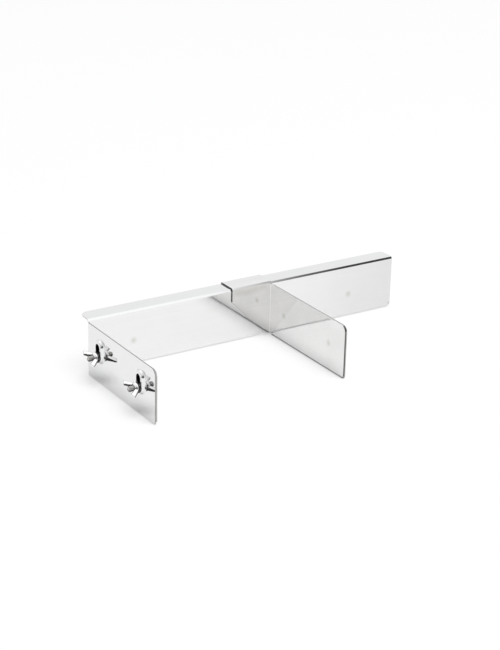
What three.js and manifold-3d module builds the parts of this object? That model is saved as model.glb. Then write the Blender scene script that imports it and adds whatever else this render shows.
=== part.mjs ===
// Adjustable batter spreader in stainless sheet, millimetres, +Z up.
// The blade levels batter on a tray. Two guide plates run along the tray: the left one hangs on the blade's
// folded end, the right one on a slider that sets the width. Slots and wing nuts set the blade's height.

import * as THREE from 'three';
import { mergeVertices } from 'three/addons/utils/BufferGeometryUtils.js';
import Module from 'manifold-3d';

// Sheet and folds
const sheet = 1.0; // thickness of the stainless sheet
const bendInside = 1.0; // inside radius of the folds along the blade
const guideBendInside = 0.8; // inside radius of the folds that turn the guide tabs forward
const foldLap = 1.0; // how far a fold's legs run into the flats that it joins
const slip = 0.3; // gap between pieces that slide or seat on each other
const cornerRelief = 1.0; // notch left where two folds meet at a corner

// Blade
const bladeLength = 328;
const bladeHeight = 50; // lower edge to top of the flange
const trayGap = 1.5; // blade edge above the tray, guides set highest
const flangeDepth = 17.5; // front face of the web to back edge of the flange
const flangeLeftRadius = 8;
const flangeRightRadius = 4.5;
const bladeEndRadius = 2.5; // free lower corner of the web

// Guides: the folded tabs and the plates clamped to them
const guideReach = 120; // front face of the web to the guides' front edge
const guideBack = 2.3; // front face of the web to the plates' back edge
const plateHeight = 49.5;
const guideTopRadius = 6;
const guideToeRadius = 2.5;
const plateHeelRadius = 1.5;

// Slider
const sliderPlace = 188.5; // left face of the blade to the inner face of the right tab
const saddleLength = 41.6;
const saddleSlack = 0.8; // room between the flange's back edge and the back lip
const lipHeight = 13.6; // front lip at the saddle's free end
const backLipHeight = 10;
const gussetLand = 4; // full height strip of the gusset beside the tab
const lipRadius = 1.0;

// Slots and studs
const studBack = 24; // front face of the web to the rear stud
const studSpacing = 72;
const studHeight = 25.7; // above the tray
const studDiameter = 5;
const studLength = 12.8;
const studChamfer = 0.7;
const beadWidth = 1.0; // weld bead round the stud's foot
const beadHeight = 1.0;
const slotWidth = 7;
const slotTravel = 9.4;

// Oval pads pressed outward round the slots, clear of the weld beads
const padRim = 2.2; // flat face of a pad round its slot
const padSlope = 1.6; // width of the sloping flank
const padHeight = 2.4;
const padThinning = 0.6; // how much narrower the hollow behind a pad is

// Washers
const washerDiameter = 10;
const washerThickness = 1;
const washerEdge = 0.15; // bevel round the washer's outer face

// Wing nuts
const nutBaseDiameter = 10;
const nutTopDiameter = 7.6;
const nutHubHeight = 3.2;
const nutEdge = 0.4; // bevel round the hub's base and top
const nutHeight = 9.2; // hub's base to the inner corners of the wings
const nutSpan = 22.6;
const nutMouth = 13.4; // between the inner corners of the wings
const wingTipHeight = 7.3; // hub's base to the outer corners of the wings
const wingThickness = 1.6;
const wingRoot = 0.8; // how far the wings reach into the hub
const wingRootHeight = 1.0; // lower edge of a wing where it leaves the hub
const wingTipRadius = 0.8;
const leftWingTurn = 20; // degrees that the wings stand turned from level
const rightWingTurn = 90;

// Facets
const arcSegments = 4; // per rounded corner, doubled along an arc
const roundSegments = 32;

// Places worked out from the sizes above
const bend = sheet + bendInside; // outside radius of a fold along the blade
const guideBend = sheet + guideBendInside; // outside radius of a tab's fold
const bladeTop = trayGap + bladeHeight;
const leftTabTop = bladeTop - bend - cornerRelief;
const lipFront = -slip - sheet;
const saddleTop = bladeTop + slip + sheet;
const saddleLeft = sliderPlace - saddleLength;
const gussetRight = sliderPlace - guideBendInside;
const backLipFace = flangeDepth + saddleSlack + sheet;
const rightTabTop = saddleTop - bend - cornerRelief;
const rightTabFace = sliderPlace + sheet;
const boreRadius = studDiameter / 2 + slip;
const studPlaces = { rear: -studBack, front: -studBack - studSpacing };

const X = new THREE.Vector3(1, 0, 0);
const Y = new THREE.Vector3(0, 1, 0);
const Z = new THREE.Vector3(0, 0, 1);

const wasm = await Module();
wasm.setup();

// Solid from a closed geometry
function solid(geometry) {
  const bare = geometry.clone();
  bare.deleteAttribute('normal');
  bare.deleteAttribute('uv');
  const merged = mergeVertices(bare, 1e-4);
  return new wasm.Manifold(new wasm.Mesh({
    numProp: 3,
    vertProperties: new Float32Array(merged.attributes.position.array),
    triVerts: new Uint32Array(merged.index.array),
  }));
}

// Geometry of several closed geometries joined into one solid, less any cuts
function joined(parts, cuts = []) {
  let body = solid(parts[0]);
  for (const part of parts.slice(1)) body = body.add(solid(part));
  for (const cut of cuts) body = body.subtract(solid(cut));
  const mesh = body.getMesh();
  const geometry = new THREE.BufferGeometry();
  geometry.setAttribute('position', new THREE.BufferAttribute(mesh.vertProperties, 3));
  geometry.setIndex(new THREE.BufferAttribute(mesh.triVerts, 1));
  return geometry;
}

// Closed outline through corners [u, v, radius] taken counter-clockwise, each rounded by a tangent arc
function roundedOutline(corners) {
  const shape = new THREE.Shape();
  const points = corners.map(([u, v]) => new THREE.Vector2(u, v));
  corners.forEach(([u, v, radius = 0], i) => {
    const corner = points[i];
    const toLast = points.at(i - 1).clone().sub(corner).normalize();
    const toNext = points[(i + 1) % points.length].clone().sub(corner).normalize();
    if (radius === 0) {
      if (i === 0) shape.moveTo(u, v);
      shape.lineTo(u, v);
      return;
    }
    const half = Math.acos(toLast.dot(toNext)) / 2;
    const middle = toLast.clone().add(toNext).normalize();
    const centre = corner.clone().addScaledVector(middle, radius / Math.sin(half));
    const reach = radius / Math.tan(half);
    const start = corner.clone().addScaledVector(toLast, reach).sub(centre);
    const end = corner.clone().addScaledVector(toNext, reach).sub(centre);
    const turnsRight = toLast.cross(toNext) > 0;
    shape.absarc(centre.x, centre.y, radius, start.angle(), end.angle(), turnsRight);
  });
  shape.closePath();
  return shape;
}

// Flat sheet of an outline, drawn in the plane of two directions and thickened along their cross product
function flat(outline, across, up, origin, thickness = sheet) {
  const geometry = new THREE.ExtrudeGeometry(outline, {
    depth: thickness, bevelEnabled: false, curveSegments: arcSegments,
  });
  const frame = new THREE.Matrix4().makeBasis(across, up, across.clone().cross(up));
  return geometry.applyMatrix4(frame.setPosition(origin));
}

// Right-angled fold: an angle section with its sharp outer corner at the origin, legs along two directions
function fold(legA, legB, origin, length, inside = bendInside) {
  const leg = sheet + inside + foldLap;
  const section = roundedOutline([
    [0, 0, sheet + inside], [leg, 0], [leg, sheet], [sheet, sheet, inside], [sheet, leg], [0, leg],
  ]);
  return flat(section, legA, legB, origin, length);
}

const at = (x, y, z) => new THREE.Vector3(x, y, z);
const down = Z.clone().negate();
const forward = Y.clone().negate();
const leftward = X.clone().negate();

// Notch between two folds that meet at a corner, above the top of a tab
function cornerNotch(x, y, tabTop) {
  const notch = new THREE.BoxGeometry(2 * guideBend, 2 * guideBend, cornerRelief);
  return notch.translate(x, y, tabTop + cornerRelief / 2);
}

// Blade: web, flange folded back along the top, tab folded forward at the left end
function bladeGeometry() {
  const web = roundedOutline([
    [guideBend, trayGap], [bladeLength, trayGap, bladeEndRadius],
    [bladeLength, bladeTop - bend], [guideBend, bladeTop - bend],
  ]);
  const flange = roundedOutline([
    [0, bend], [bladeLength, bend], [bladeLength, flangeDepth, flangeRightRadius],
    [0, flangeDepth, flangeLeftRadius],
  ]);
  const tab = roundedOutline([
    [-guideReach, trayGap, guideToeRadius], [-guideBendInside, trayGap], [-guideBendInside, leftTabTop],
    [-guideReach, leftTabTop, guideTopRadius],
  ]);
  return joined([
    flat(web, X, Z, at(0, sheet, 0)),
    flat(flange, X, Y, at(0, 0, bladeTop - sheet)),
    flat(tab, Y, Z, at(0, 0, 0)),
    fold(down, Y, at(0, 0, bladeTop), bladeLength),
    fold(forward, X, at(0, sheet, trayGap), leftTabTop - trayGap, guideBendInside),
  ], [cornerNotch(0, 0, leftTabTop)]);
}

// Slider: saddle over the flange, front gusset and back lip folded down, tab folded forward at the right
function sliderGeometry() {
  const saddle = roundedOutline([
    [saddleLeft, lipFront + bend], [sliderPlace, lipFront + bend], [sliderPlace, backLipFace - bend],
    [saddleLeft, backLipFace - bend],
  ]);
  const gusset = roundedOutline([
    [saddleLeft, saddleTop - lipHeight, lipRadius], [gussetRight - gussetLand, trayGap],
    [gussetRight, trayGap], [gussetRight, saddleTop - bend], [saddleLeft, saddleTop - bend],
  ]);
  const backLip = roundedOutline([
    [saddleLeft, saddleTop - backLipHeight, lipRadius], [sliderPlace, saddleTop - backLipHeight, lipRadius],
    [sliderPlace, saddleTop - bend], [saddleLeft, saddleTop - bend],
  ]);
  const tab = roundedOutline([
    [-guideReach, trayGap, guideToeRadius], [-slip - guideBend, trayGap], [-slip - guideBend, rightTabTop],
    [-guideReach, rightTabTop, guideTopRadius],
  ]);
  return joined([
    flat(saddle, X, Y, at(0, 0, saddleTop - sheet)),
    flat(gusset, X, Z, at(0, -slip, 0)),
    flat(backLip, X, Z, at(0, backLipFace, 0)),
    flat(tab, Y, Z, at(sliderPlace, 0, 0)),
    fold(down, Y, at(saddleLeft, lipFront, saddleTop), saddleLength),
    fold(forward, down, at(saddleLeft, backLipFace, saddleTop), saddleLength),
    fold(leftward, forward, at(rightTabFace, -slip, trayGap), rightTabTop - trayGap, guideBendInside),
  ], [cornerNotch(gussetRight + guideBend, lipFront, rightTabTop)]);
}

// Points of a round-ended outline between two heights, counter-clockwise
function stadium(place, foot, head, radius) {
  const outline = new THREE.Path();
  outline.absarc(place, head, radius, 0, Math.PI);
  outline.absarc(place, foot, radius, Math.PI, 2 * Math.PI);
  return outline.getPoints(2 * arcSegments);
}

// Solid between two matching convex outlines in the YZ plane, each given as [points, x]
function loft(one, other) {
  const [[lower, lowX], [upper, highX]] = one[1] < other[1] ? [one, other] : [other, one];
  const count = lower.length;
  const corners = [
    ...lower.map((point) => [lowX, point.x, point.y]),
    ...upper.map((point) => [highX, point.x, point.y]),
  ];
  const index = [];
  for (let i = 0; i < count; i++) {
    const next = (i + 1) % count;
    index.push(i, next, count + next, i, count + next, count + i);
  }
  for (let i = 1; i < count - 1; i++) {
    index.push(0, i + 1, i, count, count + i, count + i + 1);
  }
  const geometry = new THREE.BufferGeometry();
  geometry.setAttribute('position', new THREE.Float32BufferAttribute(corners.flat(), 3));
  geometry.setIndex(index);
  return geometry;
}

// Guide plate with its inner face on x = 0, facing outward to -1 or +1: two pads, each with an upright slot
function guidePlateGeometry(outward) {
  const outline = roundedOutline([
    [-guideReach, 0, guideToeRadius], [-guideBack, 0, plateHeelRadius],
    [-guideBack, plateHeight, plateHeelRadius], [-guideReach, plateHeight, guideTopRadius],
  ]);
  const parts = [flat(outline, Y, Z, at(Math.min(outward, 0) * sheet, 0, 0))];
  const cuts = [];
  const play = (slotWidth - studDiameter) / 2 - slip;
  const foot = studHeight + play;
  const head = studHeight + slotTravel - play;
  const face = slotWidth / 2 + padRim;
  for (const place of Object.values(studPlaces)) {
    const oval = (radius, depth) => [stadium(place, foot, head, radius), outward * depth];
    const hollow = face - padThinning;
    const slope = padSlope / padHeight;
    parts.push(loft(oval(face + padSlope + slope * sheet / 2, sheet / 2), oval(face, sheet + padHeight)));
    cuts.push(loft(oval(hollow + padSlope + slope * slip, -slip), oval(hollow, padHeight)));
    cuts.push(loft(oval(slotWidth / 2, padHeight - slip), oval(slotWidth / 2, sheet + padHeight + slip)));
  }
  return joined(parts, cuts);
}

// Lathe about local +Z from a profile of [radius, height]
function turned(profile) {
  const points = profile.map(([radius, height]) => new THREE.Vector2(radius, height));
  return new THREE.LatheGeometry(points, roundSegments).rotateX(Math.PI / 2);
}

// Welded stud, standing in its weld bead along local +Z
function studGeometry() {
  const radius = studDiameter / 2;
  return turned([
    [0, 0], [radius + beadWidth, 0], [radius, beadHeight], [radius, studLength - studChamfer],
    [radius - studChamfer, studLength], [0, studLength],
  ]);
}

// Plain washer lying on local z = 0
function washerGeometry() {
  const rim = washerDiameter / 2;
  return turned([
    [boreRadius, 0], [rim, 0], [rim, washerThickness - washerEdge], [rim - washerEdge, washerThickness],
    [boreRadius, washerThickness], [boreRadius, 0],
  ]);
}

// Wing nut standing on local z = 0: conical hub with two flaring wings in the local XZ plane
function wingNutGeometry() {
  const base = nutBaseDiameter / 2;
  const top = nutTopDiameter / 2;
  const hub = turned([
    [boreRadius, 0], [base - nutEdge, 0], [base, nutEdge], [top, nutHubHeight - nutEdge],
    [top - nutEdge, nutHubHeight], [boreRadius, nutHubHeight], [boreRadius, 0],
  ]);
  const root = top - wingRoot;
  const outline = roundedOutline([
    [root, wingRootHeight], [base, wingRootHeight, wingTipRadius],
    [nutSpan / 2, wingTipHeight, wingTipRadius], [nutMouth / 2, nutHeight, wingTipRadius],
    [top, nutHubHeight - nutEdge, wingTipRadius], [root, nutHubHeight - nutEdge],
  ]);
  const wing = flat(outline, X, Z, at(0, wingThickness / 2, 0), wingThickness);
  return joined([hub, wing, wing.clone().rotateZ(Math.PI)]);
}

// Stainless steel: bright rolled sheet, duller small hardware
const steelGrey = 0xd6d7d8;
const dullness = { sheet: 0.15, washer: 0.2, nut: 0.25, stud: 0.3 };

function mesh(name, geometry, roughness) {
  const steel = new THREE.MeshStandardMaterial({ color: steelGrey, metalness: 1, roughness });
  const piece = new THREE.Mesh(geometry, steel);
  piece.name = name;
  return piece;
}

const spreader = new THREE.Group();
spreader.add(mesh('blade', bladeGeometry(), dullness.sheet));
spreader.add(mesh('slider_bracket', sliderGeometry(), dullness.sheet));
const leftPlate = mesh('left_guide_plate', guidePlateGeometry(-1), dullness.sheet);
leftPlate.position.x = -slip;
const rightPlate = mesh('right_guide_plate', guidePlateGeometry(1), dullness.sheet);
rightPlate.position.x = rightTabFace + slip;
spreader.add(leftPlate, rightPlate);

// Clamping sets: a stud on each tab with its washer and wing nut, local +Z pointing away from the tab
const washerSeat = slip + sheet + padHeight + slip;
const nutSeat = washerSeat + washerThickness + slip;
const sides = [['left', 0, -1, leftWingTurn], ['right', rightTabFace, 1, rightWingTurn]];
for (const [side, face, turn, wingTurn] of sides) {
  for (const [row, place] of Object.entries(studPlaces)) {
    const clamp = new THREE.Group();
    const stud = mesh(`${side}_${row}_stud`, studGeometry(), dullness.stud);
    const washer = mesh(`${side}_${row}_washer`, washerGeometry(), dullness.washer);
    const nut = mesh(`${side}_${row}_wing_nut`, wingNutGeometry(), dullness.nut);
    stud.position.z = slip;
    washer.position.z = washerSeat;
    nut.position.z = nutSeat;
    nut.rotation.z = THREE.MathUtils.degToRad(90 + turn * wingTurn);
    clamp.add(stud, washer, nut);
    clamp.position.set(face, place, studHeight);
    clamp.rotation.y = turn * Math.PI / 2;
    spreader.add(clamp);
  }
}

// Origin under the middle of the whole tool, on the tray
const whole = new THREE.Box3().setFromObject(spreader, true);
const middle = whole.getCenter(new THREE.Vector3());
spreader.position.set(-middle.x, -middle.y, -whole.min.z);

export default spreader;
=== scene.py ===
"""Adjustable batter spreader in bright stainless sheet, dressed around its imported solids."""
from math import radians

import bmesh
import bpy
import numpy as np
from mathutils import Matrix, Vector


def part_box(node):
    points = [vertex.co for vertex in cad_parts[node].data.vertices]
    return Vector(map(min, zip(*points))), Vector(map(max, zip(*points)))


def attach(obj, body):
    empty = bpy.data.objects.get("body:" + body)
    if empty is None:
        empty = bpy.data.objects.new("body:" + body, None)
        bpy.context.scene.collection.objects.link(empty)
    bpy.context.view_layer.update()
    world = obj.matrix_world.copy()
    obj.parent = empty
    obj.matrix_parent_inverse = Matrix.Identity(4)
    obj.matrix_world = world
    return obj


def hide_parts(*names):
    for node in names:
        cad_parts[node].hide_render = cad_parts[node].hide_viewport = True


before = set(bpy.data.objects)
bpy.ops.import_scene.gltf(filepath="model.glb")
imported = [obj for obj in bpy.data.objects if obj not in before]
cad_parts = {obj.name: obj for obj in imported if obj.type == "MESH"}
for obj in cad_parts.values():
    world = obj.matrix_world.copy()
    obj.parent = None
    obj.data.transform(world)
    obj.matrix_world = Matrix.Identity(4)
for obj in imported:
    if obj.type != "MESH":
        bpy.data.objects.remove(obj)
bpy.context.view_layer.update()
scene = bpy.context.scene
scene.view_settings.view_transform = "Standard"

# Camera: a long lens that sees the tool from its left front corner, a little from above.
# Its place is in millimetres from the blade's heel, the lower left end of the web's front face.
# The lens is set for a frame of 500 x 650, whose long side spans the sensor's width.
per_metre = 1000
guide_reach = 120.0
blade_low, blade_high = (np.array(corner) * per_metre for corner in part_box("blade"))
heel = np.array([blade_low[0], blade_low[1] + guide_reach, 0.0])
frame_long_side = 650
focal_pixels = 1767.5
camera_from_heel = (-653.03, -1268.21, 633.5)
camera_yaw, camera_pitch, camera_roll = 32.902, 22.344, 1.416
lens = bpy.data.cameras.new("camera")
lens.sensor_width = 36.0
lens.lens = lens.sensor_width * focal_pixels / frame_long_side
lens.clip_start = 0.05
camera = bpy.data.objects.new("camera", lens)
camera.matrix_world = (
    Matrix.Translation((heel + camera_from_heel) / per_metre)
    @ Matrix.Rotation(radians(-camera_yaw), 4, "Z")
    @ Matrix.Rotation(radians(90 - camera_pitch), 4, "X")
    @ Matrix.Rotation(radians(camera_roll), 4, "Z")
)
scene.collection.objects.link(camera)
scene.camera = camera


# Studio: a white table that runs into a white surround, under one large soft lamp, a little in front.
# What the metal mirrors is dim at the front right and toward the camera, less so at the left, and
# bright overhead and in a window in front: the folds draw these out as dark and bright lines.
class Wire:
    """A socket in a node tree. Sums and products add Math nodes, node() adds any other node."""

    def __init__(self, tree, socket=None):
        self.tree = tree
        self.socket = socket

    def node(self, kind, settings=None, sockets=None, out=0):
        made = self.tree.nodes.new(kind)
        for key, value in (settings or {}).items():
            setattr(made, key, value)
        for key, value in (sockets or {}).items():
            if isinstance(value, Wire):
                self.tree.links.new(value.socket, made.inputs[key])
            else:
                made.inputs[key].default_value = value
        return Wire(self.tree, made.outputs[out] if made.outputs else None)

    def math(self, operation, *values):
        return self.node("ShaderNodeMath", {"operation": operation}, dict(enumerate(values)))

    def __add__(self, other):
        return self.math("ADD", self, other)

    def __sub__(self, other):
        return self.math("SUBTRACT", self, other)

    def __rsub__(self, other):
        return self.math("SUBTRACT", other, self)

    def __mul__(self, other):
        return self.math("MULTIPLY", self, other)

    __radd__ = __add__
    __rmul__ = __mul__


def new_material(name):
    """An empty material and a wire into its node tree."""
    material = bpy.data.materials.new(name)
    material.use_nodes = True
    material.node_tree.nodes.clear()
    return material, Wire(material.node_tree)


def rays(wire, *kinds):
    """One wire for each kind of ray, which is 1 for the rays of that kind and 0 for others."""
    return (wire.node("ShaderNodeLightPath", out="Is " + kind + " Ray") for kind in kinds)


def part_of(vector, axis):
    """The X, Y or Z of a vector."""
    return vector.node("ShaderNodeSeparateXYZ", sockets={0: vector}, out=axis)


def fade(value, start, end):
    """Smooth step of a value, from 0 at start to 1 at end."""
    limits = {"Value": value, "From Min": start, "From Max": end}
    return value.node("ShaderNodeMapRange", {"interpolation_type": "SMOOTHSTEP"}, limits)


def larger(first, second):
    """The larger of two values."""
    return first.math("MAXIMUM", first, second)


floor_half = 6.0
table_shade = (0.92, 0.92, 0.92, 1)
table_glow, mirrored_glow, contact_reach = 0.75, 0.15, 0.016
floor_mesh = bpy.data.meshes.new("table_top")
floor_corners = [(x * floor_half, y * floor_half, 0) for x, y in ((-1, -1), (1, -1), (1, 1), (-1, 1))]
floor_mesh.from_pydata(floor_corners, [], [(0, 1, 2, 3)])
table_top = bpy.data.objects.new("table_top", floor_mesh)
scene.collection.objects.link(table_top)
white_table, wire = new_material("white_table")
by_camera, by_gloss, through_glass = rays(wire, "Camera", "Glossy", "Transmission")
seen = by_camera + (by_gloss + through_glass) * mirrored_glow
matt = wire.node("ShaderNodeBsdfDiffuse", sockets={"Color": table_shade})
open_above = wire.node(
    "ShaderNodeAmbientOcclusion", {"samples": 6}, {"Distance": contact_reach}, out="AO"
)
white = wire.node("ShaderNodeEmission", sockets={"Color": (1, 1, 1, 1), "Strength": 1.0})
# The glow fades where the tool hems the table in, so besides the table's own shade a painted contact
# shade darkens it near the tool.
glowing = seen * open_above * table_glow
table = wire.node("ShaderNodeMixShader", sockets={0: glowing, 1: matt, 2: white})
wire.node("ShaderNodeOutputMaterial", sockets={"Surface": table})
floor_mesh.materials.append(white_table)

# Each zone of the surround is a product of fades over how far a direction points right, back, up
# or toward the camera.
surround_shade = (0.985, 0.99, 1, 1)
brightest, plain_glow, diffuse_glow = 1.3, 0.95, 0.5
overhead_gain, aside_gain, window_gain = 0.15, 0.2, 0.2
toward_camera = (-0.543, -0.840, 0.0)
near_share, left_share, dim_depth = 0.9, 0.25, 0.94
world = bpy.data.worlds.new("studio")
world.use_nodes = True
world.node_tree.nodes.clear()
wire = Wire(world.node_tree)
by_camera, by_gloss = rays(wire, "Camera", "Glossy")
direction = wire.node("ShaderNodeTexCoord", out="Generated")
rightward, backward, upward = (part_of(direction, axis) for axis in "XYZ")
camera_way = {0: direction, 1: toward_camera}
nearward = wire.node("ShaderNodeVectorMath", {"operation": "DOT_PRODUCT"}, camera_way, out="Value")
front_right = fade(rightward, 0.48, 0.55) * fade(rightward, 0.8, 0.65) * fade(backward, 0.3, 0.1)
near = fade(nearward, 0.78, 0.92) * fade(upward, 0.8, 0.68)
left = fade(rightward, -0.35, -0.5) * fade(backward, 0.65, 0.35)
dim = larger(front_right, larger(near * near_share, left * left_share))
aside = fade(rightward, -0.05, -0.2)
overhead = fade(upward, 0.68, 0.8) * (overhead_gain + aside * aside_gain)
window = fade(upward, 0.02, 0.12) * fade(backward, 0.1, -0.1)
window = window * fade(rightward, 0.25, 0.4) * fade(rightward, 0.52, 0.49)
mirrored = by_gloss * (plain_glow + larger(overhead, window * window_gain)) * (1 - dim * dim_depth)
lit = larger(larger(by_camera, mirrored), (1 - by_gloss) * diffuse_glow) * (1 / brightest)
black = wire.node("ShaderNodeBackground", sockets={"Color": (0, 0, 0, 1), "Strength": 0.0})
white = wire.node("ShaderNodeBackground", sockets={"Color": surround_shade, "Strength": brightest})
surround = wire.node("ShaderNodeMixShader", sockets={0: lit, 1: black, 2: white})
wire.node("ShaderNodeOutputWorld", sockets={"Surface": surround})
scene.world = world

lamp_place = Vector((0.38, -2.04, 6.0))
lamp_data = bpy.data.lights.new("soft_lamp", "AREA")
lamp_data.shape = "DISK"
lamp_data.size = 4.6
lamp_data.energy = 300
lamp = bpy.data.objects.new("soft_lamp", lamp_data)
lamp_turn = lamp_place.to_track_quat("Z", "Y").to_matrix().to_4x4()
lamp.matrix_world = Matrix.Translation(lamp_place) @ lamp_turn
lamp.visible_glossy = False
scene.collection.objects.link(lamp)


# Blade: one stainless sheet, its top folded back as a flange and its left end folded forward as a tab.
# The face that shows is worked out as grids of points, and the sheet's thickness goes behind it.
# Two straw-coloured stains show on the web, and a darker mark at the lower corner of its free end.
sheet = 1.0
bend_inside = 1.0
bend = sheet + bend_inside
flange_fold = 2.4
guide_bend_inside = 0.4
guide_bend = sheet + guide_bend_inside
relief = 1.0
tray_gap = 1.5
toe_radius = 2.5
top_radius = 6.0
row_split = 0.01
blade_length = blade_high[0] - blade_low[0]
blade_top = blade_high[2]
flange_depth = blade_high[1] - heel[1]
left_tab_top = blade_top - bend - relief
quarter = np.linspace(0, np.pi / 2, 13)


def welded(name, *patches):
    """Mesh of grids of points, each (rows, columns, 3) in millimetres from the heel.
    The grids are welded where they meet, and faces that collapse are dissolved."""
    weld_gap, collapsed = 2e-6, 1e-7
    corners, faces, count = [], [], 0
    for patch in patches:
        rows, columns = patch.shape[:2]
        number = count + np.arange(rows * columns).reshape(rows, columns)
        quads = [number[:-1, :-1], number[1:, :-1], number[1:, 1:], number[:-1, 1:]]
        corners.append((patch.reshape(-1, 3) + heel) / per_metre)
        faces.append(np.stack(quads, axis=-1).reshape(-1, 4))
        count += rows * columns
    mesh = bpy.data.meshes.new(name)
    mesh.from_pydata(np.concatenate(corners).tolist(), [], np.concatenate(faces).tolist())
    shell = bmesh.new()
    shell.from_mesh(mesh)
    bmesh.ops.remove_doubles(shell, verts=shell.verts, dist=weld_gap)
    bmesh.ops.dissolve_degenerate(shell, edges=shell.edges, dist=collapsed)
    shell.to_mesh(mesh)
    shell.free()
    mesh.shade_smooth()
    return mesh


def placed(name, mesh, body, node, slot_name, *materials):
    """The finished piece in place of its solid, riding on its body."""
    piece = bpy.data.objects.new(name, mesh)
    scene.collection.objects.link(piece)
    for material in materials:
        mesh.materials.append(material)
    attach(piece, body)
    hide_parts(node)
    return piece


def thickened(piece, edge, back=0):
    """Sheet thickness behind the face, cut edges in the second material, every edge a little rounded.
    The sheet's other face takes the material numbered back."""
    wall = piece.modifiers.new("sheet", "SOLIDIFY")
    wall.thickness = sheet / per_metre
    wall.offset = -1
    wall.use_even_offset = True
    wall.material_offset = back
    wall.material_offset_rim = 1
    rounds = piece.modifiers.new("deburred", "BEVEL")
    rounds.width = edge / per_metre
    rounds.segments = 2
    rounds.limit_method = "ANGLE"
    rounds.angle_limit = radians(50)
    rounds.material = 1
    evened = piece.modifiers.new("flat_faces", "WEIGHTED_NORMAL")
    evened.weight = 100
    evened.keep_sharp = True


def rows_between(first, last, count):
    """One row of evenly spaced numbers from each of the first ones to its last one."""
    return first[:, None] + (last - first)[:, None] * np.linspace(0, 1, count)[None, :]


def stacked(x, y, z):
    """Grid of points from three arrays that broadcast to the same grid."""
    return np.stack(np.broadcast_arrays(x, y, z), axis=-1)


def cut_in(depth, radius):
    """How far a rounded corner cuts in at a depth into it: its radius less the circle's half chord."""
    return radius - np.sqrt(radius**2 - np.clip(depth, 0, radius) ** 2)


def front_edge(height, foot, head):
    """y of a guide's front edge at each height: straight, with a rounded toe and a rounder top."""
    toe_cut = cut_in(foot + toe_radius - height, toe_radius)
    top_cut = cut_in(height - head + top_radius, top_radius)
    return -guide_reach + (toe_cut + top_cut)


def guide_heights(head):
    """Heights of a tab's rows from its top down, close together at its rounded corners."""
    upper = head - top_radius + top_radius * np.cos(quarter)
    lower = tray_gap + toe_radius - toe_radius * np.sin(quarter)
    return np.concatenate([upper, np.linspace(upper[-1], lower[0], 12)[1:-1], lower])


def blade_face():
    """Flange top, fold and web front as rows carried along the blade.
    The tab's inner face follows, straight and then round a quarter circle into the web."""
    left_radius, right_radius, end_radius = 8.0, 4.5, 2.5
    back = np.unique(np.concatenate([
        flange_depth - left_radius + left_radius * np.sin(quarter),
        flange_depth - right_radius + right_radius * np.sin(quarter),
        np.linspace(flange_fold, flange_depth - left_radius, 5),
    ]))[::-1]
    rise = np.linspace(0, np.pi / 2, 17)[1:-1]
    tab_rows = guide_heights(left_tab_top)
    fold_foot = blade_top - flange_fold
    web_rows = np.concatenate([[fold_foot, fold_foot - row_split], tab_rows])
    y = np.concatenate([back, flange_fold - flange_fold * np.sin(rise), 0 * web_rows])
    z = np.concatenate([0 * back + blade_top, fold_foot + flange_fold * np.cos(rise), web_rows])
    left_cut = cut_in(y - flange_depth + left_radius, left_radius)
    right_cut = cut_in(y - flange_depth + right_radius, right_radius)
    end_cut = cut_in(tray_gap + end_radius - z, end_radius)
    start = np.where(z < fold_foot - row_split / 2, guide_bend, left_cut)
    along = rows_between(start, blade_length - (right_cut + end_cut), 33)
    long_part = stacked(along, y[:, None], z[:, None])
    front = front_edge(tab_rows, tray_gap, left_tab_top)
    reach = rows_between(front, 0 * tab_rows - guide_bend_inside, 17)
    flat = stacked(sheet, reach, tab_rows[:, None])
    turn = np.linspace(0, np.pi / 2, 9)[1:]
    curl = stacked(
        (guide_bend - guide_bend_inside * np.cos(turn))[None, :],
        (guide_bend_inside * np.sin(turn) - guide_bend_inside)[None, :],
        tab_rows[:, None],
    )
    return welded("blade", long_part, np.concatenate([flat, curl], axis=1))


def noise(place, scale, detail):
    """Noise over the coordinates given, from 0 to 1 about a middle of one half."""
    sockets = {"Vector": place, "Scale": scale, "Detail": detail}
    return place.node("ShaderNodeTexNoise", sockets=sockets)


def blend(share, first, second):
    """Colour that goes from the first to the second as the share goes from 0 to 1."""
    mix_first, mix_second, mix_result = 6, 7, 2
    colours = {"Factor": share, mix_first: first, mix_second: second}
    return share.node("ShaderNodeMix", {"data_type": "RGBA"}, colours, out=mix_result)


def tinted(tone, colour):
    """The colour times the tone."""
    return tone.node("ShaderNodeVectorMath", {"operation": "SCALE"}, {0: colour, "Scale": tone})


def facing_up(wire):
    """How far a face looks up: its normal's height, 1 on a level face and 0 on an upright one."""
    return part_of(wire.node("ShaderNodeTexCoord", out="Normal"), "Z")


def metal(wire, colour, rough, height=None):
    """Ends a material as bare metal, with the height, if there is one, bent into its normal."""
    sockets = {"Base Color": colour, "Metallic": 1.0, "Roughness": rough}
    if height is not None:
        bumps = {"Height": height, "Distance": 1.0, "Strength": 1.0}
        sockets["Normal"] = wire.node("ShaderNodeBump", sockets=bumps)
    shader = wire.node("ShaderNodeBsdfPrincipled", sockets=sockets)
    wire.node("ShaderNodeOutputMaterial", sockets={"Surface": shader})


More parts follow.
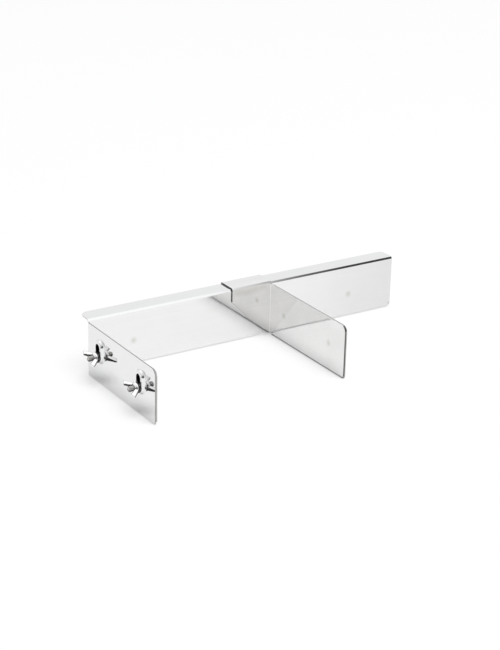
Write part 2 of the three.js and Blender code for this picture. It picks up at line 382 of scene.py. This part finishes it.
def stainless(name, shade, dullness, marks=(), soil=0.05, level_painted_light=0.0, darkened_along_x=None):
    """Bright rolled stainless: streaks along the sheet, smears from wiping and a slow waviness.
    Each mark (point in metres, radius, strength) is a straw-coloured patch that fades outward, used for
    real stains and for painted shade.
    Level faces gain tone by the level gain, a painted highlight on faces that look up. Upright ones lose
    tone over a given stretch of x."""
    streak_stretch, streak_height, streak_dulling = (6, 900, 900), 0.0000008, 0.03
    smear_scale, smear_dulling = 38.0, 0.04
    wave_scale, wave_height = 9.0, 0.00035
    darkening_depth, stain_and_shade_limit, straw = 0.13, 0.35, (0.36, 0.33, 0.24, 1)
    material, wire = new_material(name)
    place = wire.node("ShaderNodeTexCoord", out="Object")
    stretched = wire.node("ShaderNodeMapping", sockets={"Vector": place, "Scale": streak_stretch})
    streak = noise(stretched, 1.0, 3.0)
    smear = noise(place, smear_scale, 4.0)
    wave = noise(place, wave_scale, 1.0)
    level = fade(facing_up(wire), 0.5, 0.9)
    # The level gain paints a highlight on faces that look up.
    tone = 1 + (streak - 0.5) * soil + (smear - 0.5) * soil + level * level_painted_light
    # Upright faces darken over a given stretch of x.
    if darkened_along_x:
        tone = tone - fade(part_of(place, "X"), *darkened_along_x) * (1 - level) * darkening_depth
    colour = tinted(tone, shade)
    stain_and_shade = 0.0
    for point, radius, strength in marks:
        ends = {0: place, 1: point}
        gap = wire.node("ShaderNodeVectorMath", {"operation": "DISTANCE"}, ends, out="Value")
        stain_and_shade = fade(gap, radius, 0.0) * strength + stain_and_shade
    if marks:
        # The marks blend in real stains and painted shade alike.
        colour = blend(stain_and_shade.math("MINIMUM", stain_and_shade, stain_and_shade_limit), colour, straw)
    rough = dullness + (streak - 0.5) * streak_dulling + (smear - 0.5) * smear_dulling
    metal(wire, colour, rough, wave * wave_height + streak * streak_height)
    return material


def sheared_edge(name, upright_painted_tone, level_painted_tone):
    """Cut edge of the sheet, duller and darker than its faces and finely scored.
    The edges that lie level on top take the second shade, so the split is painted light and shade by how
    an edge faces, over the cut's own darker tone."""
    score_scale = 1400.0
    least_tone, tone_spread = 0.8, 0.4
    least_rough, rough_spread = 0.1, 0.12
    material, wire = new_material(name)
    place = wire.node("ShaderNodeTexCoord", out="Object")
    level = fade(facing_up(wire), 0.3, 0.8)
    shade = blend(level, (*upright_painted_tone, 1), (*level_painted_tone, 1))
    score = noise(place, score_scale, 2.0)
    colour = tinted(least_tone + score * tone_spread, shade)
    metal(wire, colour, least_rough + score * rough_spread)
    return material


def mark_at(place, radius, strength):
    """A mark for stainless(), from a place and a radius in millimetres."""
    return (heel + place) / per_metre, radius / per_metre, strength


heat_stain = {"radius": 4.5, "strength": 0.35}
corner_mark = {"radius": 2.6, "strength": 0.35}
stain_height, stain_places = 22.5, (45.0, 278.0)
corner_in, corner_up = 1.0, 4.2
blade_marks = [mark_at((x, 0, stain_height), **heat_stain) for x in stain_places]
blade_marks.append(mark_at((blade_length - corner_in, 0, corner_up), **corner_mark))
# The blade's level edges are painted darker than its upright ones.
blade_edge = sheared_edge("blade_edge", (0.55, 0.55, 0.54), (0.36, 0.36, 0.355))
# The blade's upright faces are darker toward larger x.
blade_darkening_span = (0.03, 0.19)
blade_steel = stainless("blade_steel", (0.85, 0.85, 0.845), 0.06, blade_marks, darkened_along_x=blade_darkening_span)
blade = placed("spreading_blade", blade_face(), "blade", "blade", "sheet", blade_steel, blade_edge)
thickened(blade, edge=0.12)


# Slider: one stainless sheet over the flange, a saddle with a short lip behind and a sloping gusset
# in front, which turns forward at the right as the tab for the second guide. It slides along the
# blade to set the width. Stains from the studs' welds show on the tab, and painted shade under the
# saddle's fold.
saddle_length = 41.6
slip = 0.3
lip_height, back_lip_height, lip_radius = 13.6, 10.0, 1.0
gusset_land = 4.0
slider_low, slider_high = (
    np.array(corner) * per_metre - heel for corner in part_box("slider_bracket")
)
saddle_left = slider_low[0]
tab_face = saddle_left + saddle_length
gusset_right = tab_face - guide_bend_inside
saddle_top = slider_high[2]
saddle_back = slider_high[1]
saddle_front = -slip - sheet
right_tab_top = saddle_top - bend - relief


def slider_face():
    """Back lip, saddle and gusset as one profile carried along the blade.
    The tab's inner face follows, round a quarter circle out of the gusset and then straight."""
    back_flat = 2.0
    turn = np.linspace(0, np.pi / 2, 17)
    lip_foot = saddle_top - lip_height
    round_top = lip_foot + lip_radius * np.tan(np.pi / 8)
    round_rows = round_top - lip_radius * np.sin(np.linspace(0, np.pi / 4, 7))
    tab_rows = np.unique(np.concatenate([guide_heights(right_tab_top), round_rows]))[::-1]
    fold_foot = saddle_top - bend
    front_rows = np.concatenate([[fold_foot - row_split], tab_rows])
    back_foot = saddle_top - back_lip_height
    back_round = back_foot + lip_radius - lip_radius * np.cos(quarter)
    back_rows = np.concatenate([back_round, [fold_foot - back_flat]])
    y = np.concatenate([
        0 * back_rows + saddle_back, saddle_back - bend + bend * np.cos(turn),
        saddle_front + bend - bend * np.sin(turn), 0 * front_rows + saddle_front,
    ])
    z = np.concatenate([
        back_rows, fold_foot + bend * np.sin(turn), fold_foot + bend * np.cos(turn), front_rows,
    ])
    in_front = y < 0
    slope = (gusset_right - gusset_land - saddle_left) / (lip_foot - tray_gap)
    round_cut = cut_in(round_top - z, lip_radius)
    front_cut = np.where(z < round_rows[-1], (lip_foot - z) * slope, round_cut)
    back_cut = cut_in(back_foot + lip_radius - z, lip_radius)
    notched = in_front & (z < fold_foot - row_split / 2)
    start = saddle_left + np.where(in_front, front_cut, back_cut)
    end = np.where(notched, gusset_right, tab_face - np.where(in_front, 0, back_cut))
    long_part = stacked(rows_between(start, end, 13), y[:, None], z[:, None])
    curl = stacked(
        (gusset_right + guide_bend_inside * np.sin(turn))[None, :],
        (saddle_front - guide_bend_inside + guide_bend_inside * np.cos(turn))[None, :],
        tab_rows[:, None],
    )
    front = front_edge(tab_rows, tray_gap, right_tab_top)
    reach = rows_between(0 * tab_rows + saddle_front - guide_bend_inside, front, 17)[:, 1:]
    flat = stacked(tab_face, reach, tab_rows[:, None])
    return welded("slider", long_part, np.concatenate([curl, flat], axis=1))


stud_places = (-24.0, -96.0)
stud_height = 25.7
# Marks along the saddle's fold are painted shade, a straw-tinted darkening just below the fold.
fold_painted_shade = {"radius": 6.0, "strength": 0.13}
fold_shade_places = ((4, 4.5), (9, 5.0), (14, 6.5), (19, 6.0), (24, 5.0), (29, 4.5), (34, 4.2))
slider_marks = [mark_at((tab_face, y, stud_height), **heat_stain) for y in stud_places]
for along, drop in fold_shade_places:
    fold_shade_place = (saddle_left + along, saddle_front, saddle_top - drop)
    slider_marks.append(mark_at(fold_shade_place, **fold_painted_shade))
# The slider's level faces get a painted highlight through the level gain.
slider_steel = stainless("slider_steel", (0.797, 0.793, 0.787), 0.06, slider_marks, 0.16, 0.07)
# The slider's upright and downward edges are near black, painted shade along its feet and gusset edge;
# its level edges are painted light.
slider_edge = sheared_edge("slider_edge", (0.14, 0.14, 0.14), (0.62, 0.61, 0.6))
slider = placed(
    "sliding_bracket", slider_face(), "slider", "slider_bracket", "sheet", slider_steel, slider_edge
)
thickened(slider, edge=0.22)


# Guide plates: stainless plates outside the two tabs, darker and duller on the faces toward the tabs,
# the darkness painted shade for the slit under the tabs.
# Round each upright slot an oval pad is pressed outward, so that the plate clears the weld at the
# stud's foot and the washer bears on a raised face. The slots let a plate slide up and down.
slot_width, slot_travel, stud_diameter = 7.0, 9.4, 5.0
pad_rim, pad_slope, pad_height = 2.2, 1.6, 2.4
plate_back, plate_height, heel_radius = 2.3, 49.5, 1.5


def rays_to_outline(base, way, low, high, radii):
    """Length of each ray from base along way to a rectangle, whose rounded corners are given in radii
    by side and end. A ray that leaves past a corner's centre ends on that corner's circle."""
    with np.errstate(divide="ignore", invalid="ignore"):
        far = np.where(way > 0, (high - base) / way, np.where(way < 0, (low - base) / way, np.inf))
    length = far.min(axis=1)
    for corner, radius in radii.items():
        at_high = np.array(corner, dtype=bool)
        centre = np.where(at_high, high - radius, low + radius)
        outward = np.where(at_high, 1, -1)
        beyond = ((base + way * length[:, None] - centre) * outward > 0).all(axis=1)
        lead = ((centre - base) * way).sum(axis=1)
        off = ((centre - base) ** 2).sum(axis=1) - lead**2
        on_circle = lead + np.sqrt(np.clip(radius**2 - off, 0, None))
        length = np.where(beyond, on_circle, length)
    return length


def corner_points(low, high, radii, middle):
    """Points along a half plate's rounded corners, and the two square ones on its middle line."""
    sweep = np.linspace(0, np.pi / 2, 9)
    points = [np.array([(middle, low[1]), (middle, high[1])])]
    for (side, end), radius in radii.items():
        run, rise = radius * np.cos(sweep), radius * np.sin(sweep)
        across = high[0] - radius + run if side else low[0] + radius - run
        upward = high[1] - radius + rise if end else low[1] + radius - rise
        points.append(np.stack([across, upward], axis=1))
    return np.concatenate(points)


def swing_past(aims):
    """Half a turn in even steps, in which the rays to the corners replace the steps close to them."""
    close = 0.03
    even = np.linspace(0, np.pi, 49)
    apart = np.abs(even[:, None] - aims[None, :]).min(axis=1) > close
    return np.unique(np.round(np.concatenate([[0, np.pi], even[apart], aims]), 9))


def plate_face(outward, face_x):
    """Rays from each slot's middle line, one half of the plate for each slot.
    Along a ray: the flat pad, its flank as half a cosine wave, then the plate to its outline."""
    play = (slot_width - stud_diameter) / 2 - slip
    foot, head = stud_height + play, stud_height + slot_travel - play
    middle = sum(stud_places) / 2
    halves = [
        ((middle, 0.0), (-plate_back, plate_height), {(1, 0): heel_radius, (1, 1): heel_radius}),
        ((-guide_reach, 0.0), (middle, plate_height), {(0, 0): toe_radius, (0, 1): top_radius}),
    ]
    edge, edge_band, soft = slot_width / 2, 0.9, 0.2
    flank = np.linspace(0, 1, 15)
    flank_start = edge + pad_rim - soft
    pad_steps = [edge, edge + edge_band, flank_start - soft]
    steps = np.concatenate([pad_steps, flank_start + (pad_slope + 2 * soft) * flank])
    shares = np.array([0.12, 0.3, 0.6, 1.0])
    swell = pad_height * np.concatenate([[1, 1, 1], (1 + np.cos(np.pi * flank)) / 2])
    rise = np.concatenate([swell, 0 * shares])
    straight = np.linspace(0, 1, 5)[1:-1]
    patches = []
    for place, (low, high, radii) in zip(stud_places, halves):
        corners = corner_points(low, high, radii, middle)
        upper = corners[corners[:, 1] > stud_height] - (place, head)
        lower = corners[corners[:, 1] < stud_height] - (place, foot)
        over = swing_past(np.arctan2(upper[:, 1], upper[:, 0]))
        under = swing_past(np.arctan2(-lower[:, 1], -lower[:, 0]))
        aim = np.concatenate([
            over, 0 * straight + np.pi, np.pi + under, 0 * straight + 2 * np.pi, [0.0],
        ])
        lift = np.concatenate([
            0 * over + head, head + (foot - head) * straight,
            0 * under + foot, foot + (head - foot) * straight, [head],
        ])
        way = np.stack([np.cos(aim), np.sin(aim)], axis=1)
        base = np.stack([0 * lift + place, lift], axis=1)
        length = rays_to_outline(base, way, np.array(low), np.array(high), radii)
        on_pad = np.broadcast_to(steps, (len(aim), len(steps)))
        past_pad = steps[-1] + (length - steps[-1])[:, None] * shares
        out = np.concatenate([on_pad, past_pad], axis=1)
        y, z = (base[:, [axis]] + way[:, [axis]] * out for axis in (0, 1))
        patch = stacked(face_x + outward * rise[None, :], y, z)
        patches.append(patch[::-1] if outward > 0 else patch)
    return welded("guide_plate", *patches)


plate_steel = stainless("plate_steel", (0.815, 0.815, 0.815), 0.06)
# The plates' level edges are painted darker than their upright ones.
plate_edge = sheared_edge("plate_edge", (0.4, 0.395, 0.385), (0.33, 0.33, 0.325))
# The faces toward the tabs are painted darker, as shade in the slit under the tabs.
plate_inside_painted_shade = stainless("plate_inside_painted_shade", (0.42, 0.417, 0.41), 0.14)
plate_finish = (plate_steel, plate_edge, plate_inside_painted_shade)
for side, outward, body, node in (
    ("left", -1, "left_guide", "left_guide_plate"),
    ("right", 1, "right_guide", "right_guide_plate"),
):
    plate_low, plate_high = (np.array(corner) * per_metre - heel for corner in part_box(node))
    face_x = plate_low[0] + pad_height if outward < 0 else plate_high[0] - pad_height
    plate = placed(side + "_guide", plate_face(outward, face_x), body, node, "sheet", *plate_finish)
    thickened(plate, edge=0.1, back=plate_finish.index(plate_inside_painted_shade))


# Clamping studs: M5 threaded studs welded to the tabs, each with a small bead round its foot.
# The thread is a helix: the radius follows a triangle wave that climbs one pitch in each turn.
# Their upper halves are painted light, and the grooves and undersides painted shade.
stud_length, stud_chamfer, thread_pitch, thread_depth = 12.8, 0.7, 0.8, 0.42
bead_width, bead_height = 1.0, 1.0


def turned_to(axial, outward, place):
    """Points given as (along the stud, across, up), put on a tab's face and pointing outward."""
    along, across, up = np.moveaxis(axial, -1, 0)
    return stacked(place[0] + outward * along, place[1] + outward * across, place[2] + up)


def stud_form():
    """Foot bead, threaded shank and chamfered tip as one grid of turns by lengths."""
    flank_gain, crest_land = 2.4, 0.1
    climb = np.linspace(0, stud_length, 190)
    around = np.linspace(2 * np.pi, 0, 41)
    phase = (climb[:, None] / thread_pitch - around[None, :] / (2 * np.pi)) % 1.0
    groove = np.clip(flank_gain * np.abs(phase - 0.5) - crest_land, 0, 1)
    thread = stud_diameter / 2 - thread_depth * groove
    tip = stud_diameter / 2 - np.clip(climb - stud_length + stud_chamfer, 0, None)
    bead = stud_diameter / 2 + bead_width * (1 - np.sqrt(np.clip(climb / bead_height, 0, 1)))
    radius = np.minimum(thread, tip[:, None])
    radius = np.where(climb[:, None] < bead_height, np.maximum(radius, bead[:, None]), radius)
    radius = np.concatenate([0 * radius[:1], radius, 0 * radius[:1]])
    along = np.concatenate([climb[:1], climb, climb[-1:]])
    return stacked(along[:, None], radius * np.cos(around), radius * np.sin(around))


def stud_painted_light(mesh, place):
    """Painted light of each point: on the upper side from half to whole by the thread's crests, the
    grooves taking painted shade.
    Below, painted shade, lit to a quarter of the crests' own. The chamfered tip counts as most of a
    crest."""
    groove_radius, groove_slack, tip_crest = stud_diameter / 2 - thread_depth, 0.05, 0.7
    wiped_gain, wiped_floor, under_share, least_out = 2.0, 0.5, 0.25, 0.1
    points = np.empty(len(mesh.vertices) * 3)
    mesh.vertices.foreach_get("co", points)
    across, up = (points.reshape(-1, 3) * per_metre - heel - place).T[1:]
    out = np.hypot(across, up)
    crest = np.clip((out - groove_radius) / thread_depth, 0, 1)
    crest[out < groove_radius - groove_slack] = tip_crest
    wiped = np.clip(0.5 + wiped_gain * up / np.maximum(out, least_out), 0, 1)
    on_top = wiped_floor + (1 - wiped_floor) * crest
    return wiped * on_top + (1 - wiped) * under_share * crest


def with_painted_light(mesh, painted_light):
    """The mesh with its points' painted light kept as an attribute, which hardware_steel() reads."""
    mesh.attributes.new("painted_light", "FLOAT", "POINT").data.foreach_set("value", painted_light)
    return mesh


def hardware_steel(name, shade, dullness, painted_shade_colour=None):
    """Tumbled stainless of small fittings: fine dents in the normal and a slightly patchy gloss.
    With a dark colour for painted shade, the mesh's painted light fades from that to the bright shade."""
    dent_scale, dent_height = 700.0, 0.000008
    patch_scale, rough_spread = 260.0, 0.1
    least_tone, tone_spread = 0.94, 0.12
    material, wire = new_material(name)
    place = wire.node("ShaderNodeTexCoord", out="Object")
    dents = noise(place, dent_scale, 3.0)
    patches = noise(place, patch_scale, 2.0)
    if painted_shade_colour:
        painted_light = wire.node("ShaderNodeAttribute", {"attribute_name": "painted_light"}, out="Fac")
        shade = blend(painted_light, (*painted_shade_colour, 1), (*shade, 1))
    colour = tinted(least_tone + patches * tone_spread, shade)
    metal(wire, colour, dullness + (patches - 0.5) * rough_spread, dents * dent_height)
    return material


# Its dark colour paints the shade in the grooves and undersides.
stud_steel = hardware_steel("stud_steel", (0.68, 0.67, 0.65), 0.16, (0.05, 0.048, 0.045))
clamps = []
for side, outward, body, face_x in (
    ("left", -1, "blade", 0.0),
    ("right", 1, "slider", tab_face + sheet),
):
    for row, place_y in zip(("rear", "front"), stud_places):
        place = np.array([face_x, place_y, stud_height])
        clamps.append((side + "_" + row, outward, body, place))
for name, outward, body, place in clamps:
    mesh = welded("stud", turned_to(stud_form() + (slip, 0, 0), outward, place))
    mesh = with_painted_light(mesh, stud_painted_light(mesh, place))
    placed(name + "_threaded_stud", mesh, body, name + "_stud", "hardware", stud_steel)


# Washers: plain stamped M5 washers, coloured dark, between the raised pads and the wing nuts.
# Each is a rounded section carried once round the stud.
washer_diameter, washer_thickness = 10.0, 1.0
bore_radius = stud_diameter / 2 + slip
washer_seat = slip + sheet + pad_height + slip


def turned_section(along, radius, around):
    """A section of lengths along the stud and radii, carried round it through the angles around."""
    across, up = radius[:, None] * np.cos(around), radius[:, None] * np.sin(around)
    return stacked(along[:, None], across, up)


def washer_form():
    """Closed section of bore, faces and rounded rim, turned about the stud."""
    soft = 0.18
    corner = np.linspace(0, np.pi / 2, 5)
    rim, top = washer_diameter / 2 - soft, washer_thickness - soft
    radius = np.concatenate([
        [bore_radius], rim + soft * np.sin(corner), rim + soft * np.cos(corner), [bore_radius] * 2,
    ])
    along = np.concatenate([
        [0], soft - soft * np.cos(corner), top + soft * np.sin(corner), [washer_thickness, 0],
    ])
    return turned_section(along, radius, np.linspace(2 * np.pi, 0, 65))


washer_steel = hardware_steel("washer_steel", (0.16, 0.16, 0.155), 0.25)
for name, outward, body, place in clamps:
    mesh = welded("washer", turned_to(washer_form() + (washer_seat, 0, 0), outward, place))
    placed(name + "_plain_washer", mesh, body, name + "_washer", "hardware", washer_steel)


# Wing nuts: cast stainless, a conical hub with two wings that flare away from the plate.
# Hub and wings are grids that run into each other, fused and smoothed into one skin.
# Their broad faces and tips are painted light, and their sides and roots painted shade.
nut_base, nut_top, nut_hub = 10.0, 7.6, 3.2
nut_height, nut_span, nut_mouth, tip_height, wing_thickness = 9.2, 22.6, 13.4, 7.3, 1.6
hub_chamfer = 0.4
wing_turns = {-1: 20.0, 1: 90.0}
nut_seat = washer_seat + washer_thickness + slip


def hub_form():
    """Closed section of bore, base and cone, turned about the stud."""
    base, top = nut_base / 2, nut_top / 2
    land, land_taper, top_chamfer = 1.3, 0.1, 0.5
    radius = np.array([
        bore_radius, base - hub_chamfer, base, base - land_taper,
        top, top - top_chamfer, bore_radius, bore_radius,
    ])
    along = np.array([0, 0, hub_chamfer, land, nut_hub - hub_chamfer, nut_hub, nut_hub, 0])
    return turned_section(along, radius, np.linspace(0, 2 * np.pi, 49))


def squared(wave):
    """A wave swollen toward a square one by a power below one."""
    power = 0.42
    return np.sign(wave) * np.abs(wave) ** power


def wing_form():
    """Wing ruled from its lower edge to its upper one, out from inside the hub and thinner outward.
    Across, it is a squared oval. At both ends a half round closes it."""
    round_end, root_half, ruled = wing_thickness / 2, 2.0, 17
    low_root, low_tip = np.array([0.1, 4.8]), np.array([tip_height, nut_span / 2])
    high_root = np.array([nut_hub - hub_chamfer, 2.6])
    high_tip = np.array([nut_height, nut_mouth / 2])
    span = np.linalg.norm((low_tip + high_tip - low_root - high_root) / 2)
    share = np.concatenate([
        (1 - np.cos(quarter)) * round_end / span, np.linspace(0.1, 0.9, ruled),
        1 - (1 - np.sin(quarter)) * round_end / span,
    ])
    swell = np.concatenate([np.sin(quarter), np.ones(ruled), np.cos(quarter)])
    low = low_root + (low_tip - low_root) * share[:, None]
    high = high_root + (high_tip - high_root) * share[:, None]
    middle, reach = (low + high) / 2, (high - low) / 2
    width = np.linalg.norm(reach, axis=1)
    reach = reach * ((width - round_end * (1 - swell)) / width)[:, None]
    around = np.linspace(0, 2 * np.pi, 49)
    along, across = (middle[:, [axis]] + reach[:, [axis]] * squared(np.cos(around)) for axis in (0, 1))
    half = (root_half + (round_end - root_half) * share)[:, None] * swell[:, None]
    return stacked(along, across, half * squared(np.sin(around)))


def fused(mesh):
    """Points, normals and faces of a mesh of overlapping closed grids, fused into one smooth skin."""
    shell = bmesh.new()
    shell.from_mesh(mesh)
    bmesh.ops.recalc_face_normals(shell, faces=shell.faces)
    shell.to_mesh(mesh)
    shell.free()
    blank = bpy.data.objects.new("nut_blank", mesh)
    scene.collection.objects.link(blank)
    fuse = blank.modifiers.new("fuse", "REMESH")
    fuse.mode = "VOXEL"
    fuse.voxel_size = 0.00013
    even = blank.modifiers.new("even", "SMOOTH")
    even.factor = 0.5
    even.iterations = 4
    ready = blank.evaluated_get(bpy.context.evaluated_depsgraph_get()).to_mesh()
    points, normals = np.empty((2, len(ready.vertices) * 3))
    ready.vertices.foreach_get("co", points)
    ready.vertices.foreach_get("normal", normals)
    faces = [tuple(face.vertices) for face in ready.polygons]
    blank.to_mesh_clear()
    bpy.data.objects.remove(blank)
    return points.reshape(-1, 3) * per_metre - heel, normals.reshape(-1, 3), faces


def nut_painted_light(points, normals):
    """Painted light of each point, 0 for painted shade: by how level its skin lies with the wings level,
    more strictly on the wings than on the hub, and full at the wings' tips, measured square to the tips'
    edge."""
    hub_margin, hub_from, hub_spread = 0.2, 0.35, 0.3
    wing_from, wing_spread = 0.88, 0.09
    tip_depth, tip_spread = 0.6, 0.3
    level = np.abs(normals[:, 2])
    on_hub = np.hypot(points[:, 1], points[:, 2]) < nut_base / 2 + hub_margin
    face = np.where(on_hub, (level - hub_from) / hub_spread, (level - wing_from) / wing_spread)
    tip_edge = np.array([nut_height - tip_height, (nut_mouth - nut_span) / 2])
    tip_way = np.array([-tip_edge[1], tip_edge[0]]) / np.linalg.norm(tip_edge)
    one_wing = np.stack([points[:, 0], np.abs(points[:, 1])], axis=1)
    from_tip = (one_wing - (tip_height, nut_span / 2)) @ tip_way
    return np.clip(np.maximum(face, (from_tip + tip_depth) / tip_spread), 0, 1)


wing = wing_form()
nut_parts = welded("nut_parts", hub_form(), wing, wing * (1, -1, -1))
nut_points, nut_normals, nut_faces = fused(nut_parts)
# Its dark colour paints the shade on the nuts' sides and roots.
nut_steel = hardware_steel("nut_steel", (0.95, 0.95, 0.94), 0.1, (0.06, 0.058, 0.055))
for name, outward, body, place in clamps:
    tilt = radians(wing_turns[outward]) * outward
    cosine, sine = np.cos(tilt), np.sin(tilt)
    along, across, up = nut_points.T
    spun = stacked(along + nut_seat, across * cosine - up * sine, across * sine + up * cosine)
    mesh = bpy.data.meshes.new("wing_nut")
    corners = (turned_to(spun, outward, place) + heel) / per_metre
    mesh.from_pydata(corners.tolist(), [], nut_faces)
    mesh.shade_smooth()
    mesh = with_painted_light(mesh, nut_painted_light(nut_points, nut_normals))
    placed(name + "_wing_screw", mesh, name + "_nut", name + "_wing_nut", "hardware", nut_steel)
